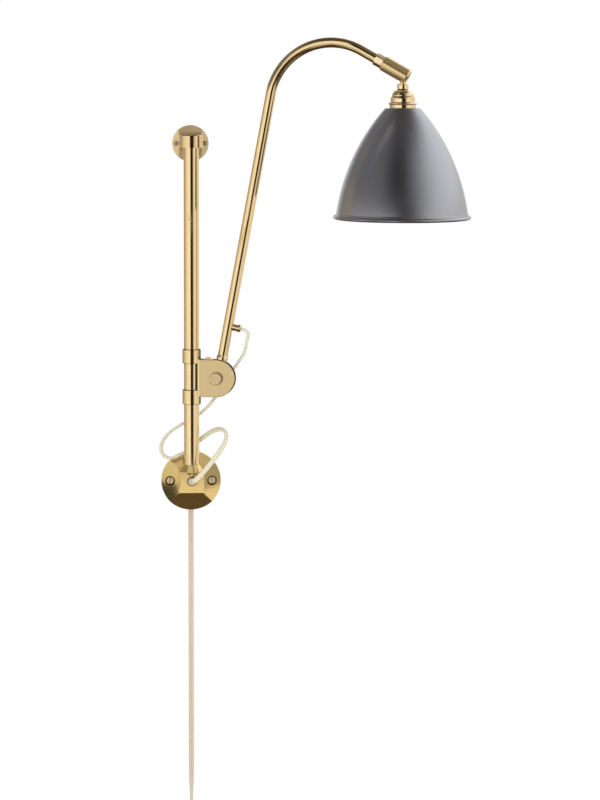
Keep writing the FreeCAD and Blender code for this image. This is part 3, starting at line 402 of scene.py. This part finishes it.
def lead_across(share):
    """Flat against the wall, edge on in the coil, and flat again at the plug."""
    flat, edge = Vector((1, 0, 0)), Vector((0, 1, 0))
    into_coil = ease((share - 0.16) / 0.03)
    out_of_coil = clip((share - 0.982) / 0.014)
    return flat.lerp(edge, into_coil).lerp(flat, out_of_coil)


lead = sweep("mains_flex", lead_line, lead_across, LEAD_FLEX)
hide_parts("mains_lead", "mains_coil", "lead_tail", "lead_inside_plate")
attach(lead, "wall_frame")


# Node helpers
def material(name, base, metallic, roughness):
    mat = bpy.data.materials.new(name)
    mat.use_nodes = True
    bsdf = mat.node_tree.nodes["Principled BSDF"]
    bsdf.inputs["Base Color"].default_value = (*base, 1)
    bsdf.inputs["Metallic"].default_value = metallic
    bsdf.inputs["Roughness"].default_value = roughness
    return mat, mat.node_tree, bsdf


def feed(tree, target, value):
    """Link a socket to an input, or set a constant there; a colour of three gets its alpha."""
    if isinstance(value, bpy.types.NodeSocket):
        tree.links.new(value, target)
    elif target.type == "RGBA":
        target.default_value = (*value, 1)
    else:
        target.default_value = value


def node(tree, kind, *by_place, **by_name):
    """New node with its attributes and inputs set; by_place fills inputs in their order."""
    n = tree.nodes.new(kind)
    for key, value in by_name.items():
        if hasattr(n, key):
            setattr(n, key, value)
        else:
            feed(tree, n.inputs[key.replace("_", " ")], value)
    for k, value in enumerate(by_place):
        feed(tree, n.inputs[k], value)
    return n


def math_node(tree, operation, *values):
    return node(tree, "ShaderNodeMath", *values, operation=operation).outputs[0]


def vector_node(tree, operation, *values):
    return node(tree, "ShaderNodeVectorMath", *values, operation=operation)


def span(tree, source, start, end, low=0.0, high=1.0, kind="SMOOTHSTEP"):
    """Map a value between start and end onto low to high."""
    return node(tree, "ShaderNodeMapRange", interpolation_type=kind, Value=source, From_Min=start,
                From_Max=end, To_Min=low, To_Max=high).outputs["Result"]


def mix(tree, share, first, second, kind="RGBA"):
    mixed = node(tree, "ShaderNodeMix", data_type=kind, Factor=share, A=first, B=second)
    return mixed.outputs["Result"]


def object_place(tree):
    return node(tree, "ShaderNodeTexCoord").outputs["Object"]


def noise(tree, scale, detail, stretch=(1, 1, 1)):
    """Noise over the object, finer along the directions with the larger stretch."""
    place = node(tree, "ShaderNodeMapping", Vector=object_place(tree), Scale=stretch)
    return node(tree, "ShaderNodeTexNoise", Vector=place.outputs["Vector"], Scale=scale,
                Detail=detail).outputs["Fac"]


def bump(tree, bsdf, height, strength, distance):
    raised = node(tree, "ShaderNodeBump", Strength=strength, Distance=distance, Height=height)
    feed(tree, bsdf.inputs["Normal"], raised.outputs["Normal"])


def taken(bsdf, name):
    """The socket that feeds a shader input so far."""
    return bsdf.inputs[name].links[0].from_socket


def offset_from(tree, point, keep):
    """Vector from a point, in the directions that keep has as 1."""
    away = vector_node(tree, "SUBTRACT", object_place(tree), point).outputs[0]
    return vector_node(tree, "MULTIPLY", away, keep).outputs[0]


def reach_from(tree, point, keep):
    return vector_node(tree, "LENGTH", offset_from(tree, point, keep)).outputs["Value"]


def shaded_tone(base, share):
    """A deeper tone of a metal's colour, for painted shade."""
    return tuple(c * c * share for c in base)


# Materials
EVEN = (1, 1, 1)
BRUSHED_UP = (1, 1, 0.12)
BRUSHED_ROUND = (0.06, 0.06, 1)


def brass(name, base, rough, grain, marks, dark=0.93, painted_shade_reach=0.0, metallic=1.0):
    """Metal with faint tarnish, hairline marks, a slightly varied polish and painted shade in its
    corners.

    grain stretches the hairlines and marks is their strength; dark is the tarnish's share of the
    colour, and the next argument is how far the painted shade in corners reaches, in metres."""
    mat, tree, bsdf = material(name, base, metallic, rough)
    colour = mix(tree, noise(tree, 38.0, 3.0), base, tuple(c * dark for c in base))
    # Painted shade: the colour darkens where ambient occlusion finds corners, creases and recesses
    if painted_shade_reach:
        corner_shade = node(tree, "ShaderNodeAmbientOcclusion", samples=6, Distance=painted_shade_reach)
        colour = mix(tree, span(tree, corner_shade.outputs["AO"], 0.25, 0.85), shaded_tone(base, 0.30), colour)
    feed(tree, bsdf.inputs["Base Color"], colour)
    hairlines = noise(tree, 900.0, 2.0, grain)
    polish = span(tree, hairlines, 0, 1, rough * 0.9, rough * 1.12, "LINEAR")
    feed(tree, bsdf.inputs["Roughness"], polish)
    bump(tree, bsdf, hairlines, marks, 0.00004)
    return mat


def bracket_brass():
    """Satin cheeks and polished collars: the polish follows the distance from the rail's axis."""
    mat = brass("bracket_brass", (0.89, 0.69, 0.36), 0.34, BRUSHED_UP, 0.10, painted_shade_reach=0.0015)
    tree = mat.node_tree
    bsdf = tree.nodes["Principled BSDF"]
    past_collars = span(tree, reach_from(tree, RAIL_AXIS, (1, 1, 0)), 0.0112, 0.0122, kind="LINEAR")
    polish = mix(tree, past_collars, 0.10, taken(bsdf, "Roughness"), "FLOAT")
    feed(tree, bsdf.inputs["Roughness"], polish)
    return mat


def ring_shaded(name, base, rough, axes, clear, dark, metallic=1.0):
    """Brass with painted shade round some axes square to the wall, between two distances in metres:
    the shade in the recesses round screw heads and a cord's hole.
    """
    mat = brass(name, base, rough, EVEN, 0.04, painted_shade_reach=0.003, metallic=metallic)
    tree = mat.node_tree
    bsdf = tree.nodes["Principled BSDF"]
    reach, *others = [reach_from(tree, axis, (1, 0, 1)) for axis in axes]
    for other in others:
        reach = math_node(tree, "MINIMUM", reach, other)
    ring_shade = span(tree, reach, clear, dark)
    colour = mix(tree, ring_shade, taken(bsdf, "Base Color"), shaded_tone(base, 0.12))
    feed(tree, bsdf.inputs["Base Color"], colour)
    return mat


def by_depth(mat, plate, block, **levels):
    """Let shader inputs follow the distance from the wall, from a plate's level to its block's."""
    tree = mat.node_tree
    parts = node(tree, "ShaderNodeSeparateXYZ", Vector=object_place(tree))
    for name, (on_plate, on_block) in levels.items():
        level = span(tree, parts.outputs["Y"], plate, block, on_plate, on_block)
        feed(tree, tree.nodes["Principled BSDF"].inputs[name], level)


def shade_paint():
    """Satin grey outside and plain white inside, by which way the wall's faces look."""
    outside_metallic, outside_rough = 0.97, 0.30
    mat, tree, bsdf = material("shade_paint", (0.45, 0.455, 0.49), outside_metallic, outside_rough)
    outward = offset_from(tree, HEAD.translation, (1, 1, 0))
    looks = node(tree, "ShaderNodeTexCoord").outputs["Normal"]
    facing = vector_node(tree, "DOT_PRODUCT", outward, looks).outputs["Value"]
    inside = math_node(tree, "LESS_THAN", facing, 0)
    specks = noise(tree, 2600.0, 2.0)
    grey = mix(tree, specks, (0.435, 0.442, 0.478), (0.455, 0.462, 0.498))
    feed(tree, bsdf.inputs["Base Color"], mix(tree, inside, grey, (0.80, 0.80, 0.78)))
    feed(tree, bsdf.inputs["Metallic"], span(tree, inside, 0, 1, outside_metallic, 0.0, "LINEAR"))
    feed(tree, bsdf.inputs["Roughness"], span(tree, inside, 0, 1, outside_rough, 0.5, "LINEAR"))
    bump(tree, bsdf, specks, 0.06, 0.00003)
    return mat


def flex_skin(name, pale, deep, grain=0.0):
    """Soft plastic of the flex, between two close tones."""
    mat, tree, bsdf = material(name, pale, 0.0, 0.42)
    feed(tree, bsdf.inputs["Base Color"], mix(tree, noise(tree, 60.0, 3.0), pale, deep))
    if grain:
        bump(tree, bsdf, noise(tree, 1500.0, 2.0), grain, 0.00003)
    return mat


def plastic(name, base, rough):
    mat, tree, bsdf = material(name, base, 0.0, rough)
    grain = noise(tree, 900.0, 3.0)
    feed(tree, bsdf.inputs["Base Color"], mix(tree, grain, base, tuple(c * 0.85 for c in base)))
    bump(tree, bsdf, grain, 0.15, 0.00005)
    return mat


def frosted_glass():
    mat, tree, bsdf = material("bulb_glass", (0.96, 0.96, 0.94), 0.0, 0.25)
    bsdf.inputs["Transmission Weight"].default_value = 0.7
    bsdf.inputs["IOR"].default_value = 1.45
    frost = span(tree, noise(tree, 700.0, 2.0), 0, 1, 0.2, 0.32, "LINEAR")
    feed(tree, bsdf.inputs["Roughness"], frost)
    return mat


POLISHED = brass("polished_brass", (0.91, 0.70, 0.38), 0.10, (1, 1, 0.05), 0.02)
TURNED = brass("turned_brass", (0.96, 0.77, 0.46), 0.12, BRUSHED_ROUND, 0.03, painted_shade_reach=0.001)
SATIN = brass("satin_brass", (0.85, 0.66, 0.39), 0.34, BRUSHED_UP, 0.10)
BRACKET = bracket_brass()
BARREL_SATIN = brass("barrel_brass", (0.90, 0.67, 0.33), 0.20, BRUSHED_UP, 0.06, painted_shade_reach=0.001,
                     metallic=0.84)
# Painted shade rings round the wall screws and the flex outlet
screw_axes = [mm(x, 0, 0) for x in SCREWS_X]
outlet_axis = mm(0, 0, OUTLET_HEIGHT)
CAST = ring_shaded("cast_brass", (0.93, 0.67, 0.27), 0.12, [*screw_axes, outlet_axis],
              clear=0.0062, dark=0.0055)
by_depth(CAST, -0.030, -0.046, Metallic=(0.95, 0.80))
LOWER_SCREWS = ring_shaded("screw_brass", (0.88, 0.70, 0.42), 0.20, screw_axes,
                      clear=0.0038, dark=0.0044, metallic=0.85)
OUTLET = ring_shaded("outlet_brass", (0.91, 0.70, 0.38), 0.12, [outlet_axis],
                clear=0.0043, dark=0.0050, metallic=0.85)
UPPER_PLATE = brass("upper_plate_brass", (0.84, 0.64, 0.35), 0.30, EVEN, 0.05, painted_shade_reach=0.002)
by_depth(UPPER_PLATE, -0.015, -0.024, Metallic=(0.62, 1.0), Roughness=(0.30, 0.12))
UPPER_SCREWS = brass("small_screw_brass", (0.74, 0.56, 0.34), 0.45, EVEN, 0.04, painted_shade_reach=0.0015,
                     metallic=0.5)
STEEL = brass("spring_steel", (0.55, 0.55, 0.56), 0.3, EVEN, 0.1, dark=0.85)
NICKEL = brass("nickel", (0.70, 0.69, 0.66), 0.22, EVEN, 0.08, dark=0.9)
BLACK = plastic("black_plastic", (0.018, 0.017, 0.016), 0.45)
IVORY = flex_skin("ivory_flex", (0.95, 0.91, 0.71), (0.92, 0.87, 0.64), 0.02)
# A darker, warmer copy of the flex: painted shade on the lead that hangs against the wall
SHADED_IVORY = flex_skin("shaded_flex", (0.88, 0.76, 0.58), (0.83, 0.70, 0.51))


def dress(obj, mat):
    obj.data.materials.clear()
    obj.data.materials.append(mat)


for names, mat in (
    (("rail_tube", "arm_tube", "swivel_ball", "cord_gland", "rail_grub_screw"), POLISHED),
    (("cord_grommet",), OUTLET),
    (("arm_ferrule", "arm_end_nut", "stem_nut", "bell_cap", "arm_end_collar",
      "pivot_washer", "pivot_nut", "shade_ring"), TURNED),
    (("swivel_barrel",), BARREL_SATIN),
    (("carriage_bracket",), BRACKET),
    (("cheek_spacer", "pivot_pin", "arm_tongue"), SATIN),
    (("lower_wall_plate",), CAST),
    (("upper_wall_plate",), UPPER_PLATE),
    (("lower_wall_screws",), LOWER_SCREWS),
    (("upper_wall_screws",), UPPER_SCREWS),
    (("glide_bushes", "carriage_core", "friction_pads", "coil_tie", "lampholder_body"), BLACK),
    (("ball_cup", "cup_spring"), STEEL),
    (("plug_pins", "lampholder_shell", "lampholder_contact", "bulb_base"), NICKEL),
    (("shade",), shade_paint()),
    (("bulb_glass",), frosted_glass()),
    (("plug_strain_relief", "plug_body", "arm_flex", "holder_flex", "lead_inside_plate",
      "mains_lead", "mains_coil", "lead_tail", "flex_at_arm", "flex_at_base", "flex_at_carriage"),
     IVORY),
):
    for name in names:
        dress(nodes[name], mat)
for piece in (upper_loop, middle_loop, lower_loop):
    dress(piece, IVORY)
dress(lead, SHADED_IVORY)
dress(tube, POLISHED)
dress(cap, TURNED)

# World: a studio of broad soft lights with a dark gap between them in front, made from a ring of
# brightness near the horizon and one above it, with a dark top and a dark floor
world = bpy.data.worlds.new("studio")
bpy.context.scene.world = world
world.use_nodes = True
sky = world.node_tree
sky.nodes.clear()
direction = node(sky, "ShaderNodeTexCoord").outputs["Generated"]
heading = node(sky, "ShaderNodeSeparateXYZ", Vector=direction).outputs
angle = math_node(sky, "ARCTAN2", heading["X"], math_node(sky, "MULTIPLY", heading["Y"], -1))
around = span(sky, angle, -math.pi, math.pi, kind="LINEAR")


def ring(stops):
    """Brightness round the lamp, by the angle in degrees from the front toward the right."""
    ramp = node(sky, "ShaderNodeValToRGB", Fac=around)
    elements = ramp.color_ramp.elements
    while len(elements) > 1:
        elements.remove(elements[0])
    for k, (degrees, level, warmth) in enumerate(stops):
        at = (degrees + 180) / 360
        element = elements.new(at) if k else elements[0]
        element.position = at
        element.color = (level, level * (1 - warmth / 2), level * (1 - warmth), 1)
    return ramp.outputs["Color"]


def by_height(first, second, low, high):
    """Fade from first to second between two heights of the direction."""
    return mix(sky, span(sky, heading["Z"], low, high), first, second)


level_ring = ring([
    (-180, 0.30, 0.3), (-140, 0.35, 0.25), (-118, 0.50, 0.2), (-94, 0.70, 0.1), (-74, 0.90, 0.05),
    (-50, 1.08, 0.02), (-17, 1.05, 0.02), (-11, 0.020, 0.8), (19, 0.020, 0.8), (27, 0.60, 0.1),
    (38, 0.90, 0.05), (55, 0.98, 0.05), (72, 0.85, 0.1), (92, 0.85, 0.1), (114, 0.85, 0.1),
    (140, 0.80, 0.1), (165, 0.60, 0.2), (180, 0.35, 0.3),
])
upper_ring = ring([
    (-180, 0.30, 0.0), (-120, 0.22, 0.0), (-64, 0.18, 0.0), (-48, 0.16, 0.0), (-38, 0.09, 0.0),
    (-30, 0.0, 0.0), (-7, 0.0, 0.0), (4, 0.06, 0.0), (18, 0.22, 0.0), (36, 0.47, 0.0),
    (60, 0.85, 0.0), (84, 1.05, 0.0), (104, 1.15, 0.0), (151, 1.15, 0.0), (180, 0.45, 0.0),
])
rising = by_height(level_ring, upper_ring, 0.10, 0.24)
topped = by_height(rising, (0.09, 0.08, 0.07), 0.62, 0.95)
grounded = by_height((0.075, 0.046, 0.022), topped, -0.42, -0.27)
studio = node(sky, "ShaderNodeBackground", Color=grounded, Strength=1.0)

# The white wall, as the camera and glass see it, and metal that mirrors what is behind the lamp
white = node(sky, "ShaderNodeBackground", Color=(1, 1, 1), Strength=1.0)
ray = node(sky, "ShaderNodeLightPath").outputs
mirrored = math_node(sky, "MULTIPLY", ray["Is Glossy Ray"], span(sky, heading["Y"], 0.82, 0.97))
seen = math_node(sky, "MAXIMUM", ray["Is Camera Ray"], ray["Is Transmission Ray"])
backdrop = math_node(sky, "MAXIMUM", seen, mirrored)
either = node(sky, "ShaderNodeMixShader", backdrop, studio.outputs[0], white.outputs[0])
node(sky, "ShaderNodeOutputWorld", Surface=either.outputs[0])

# Soft front light for the unpolished pieces; the metal's own reflections come from the world
fill_data = bpy.data.lights.new("front_light", "AREA")
fill_data.shape = "RECTANGLE"
fill_data.size = 2.4
fill_data.size_y = 1.6
fill_data.energy = 44
fill = bpy.data.objects.new("front_light", fill_data)
bpy.context.scene.collection.objects.link(fill)
fill_aim = Vector((0.3, 2.6, -0.65)).to_track_quat("-Z", "Y")
fill.matrix_world = Matrix.Translation((-0.2, -2.7, 0.9)) @ fill_aim.to_matrix().to_4x4()
fill.visible_camera = False
fill.visible_glossy = False


# Stage
def panel(name, corners):
    """Flat four-cornered piece of the stage, with a paper of its own that isn't a lamp."""
    mesh = bpy.data.meshes.new(name)
    mesh.from_pydata(corners, [], [(0, 1, 2, 3)])
    obj = link(name, mesh)
    paper, tree, bsdf = material(name, (0.9, 0.9, 0.9), 0.0, 0.8)
    paper.cycles.emission_sampling = "NONE"
    dress(obj, paper)
    return obj, tree, bsdf, tree.nodes["Material Output"].inputs["Surface"]


def upright(x, y, z):
    """Corners square to Y between two x and two z."""
    return [(x[0], y, z[0]), (x[1], y, z[0]), (x[1], y, z[1]), (x[0], y, z[1])]


# Cards of one brightness each, which only the metal mirrors
for name, level, corners in (
    ("low_card", 0.92, upright((-0.12, 0.10), -0.75, (-0.45, -0.088))),
    ("over_card", 0.60, [(-0.28, -0.62, 0.276), (0.06, -0.62, 0.276),
                         (0.06, -0.15, 0.304), (-0.28, -0.15, 0.304)]),
    ("arch_card", 0.95, upright((0.0, 0.165), -0.16, (0.530, 0.585))),
    ("left_card", 0.72, upright((-0.12, -0.074), -0.101, (-0.040, 0.02))),
    ("left_shadow", 0.02, [(-0.13, -0.1, -0.0185), (-0.0780, -0.1, -0.0215),
                           (-0.0690, -0.1, -0.075), (-0.13, -0.1, -0.075)]),
    ("right_card", 0.40, [(0.075, -0.1, -0.030), (0.13, -0.1, -0.022),
                          (0.13, -0.1, 0.02), (0.075, -0.1, 0.02)]),
):
    card, tree, _, surface = panel(name, corners)
    glow = node(tree, "ShaderNodeEmission", Color=(1, 1, 1), Strength=level)
    feed(tree, surface, glow.outputs[0])
    card.visible_camera = False
    card.visible_diffuse = False
    card.visible_shadow = False
    card.visible_transmission = False

# Floor, far below the lamp: white to the camera, and pale paper to the light
floor_corners = [(x, y, -0.95) for x, y in ((-3, -4), (3, -4), (3, 2), (-3, 2))]
floor, tree, bsdf, surface = panel("floor", floor_corners)
glow = node(tree, "ShaderNodeEmission", Color=(1, 1, 1), Strength=1.0)
ray = node(tree, "ShaderNodeLightPath").outputs
either = node(tree, "ShaderNodeMixShader", ray["Is Camera Ray"], bsdf.outputs[0], glow.outputs[0])
feed(tree, surface, either.outputs[0])
floor.visible_glossy = False

bpy.context.scene.view_settings.view_transform = "Standard"
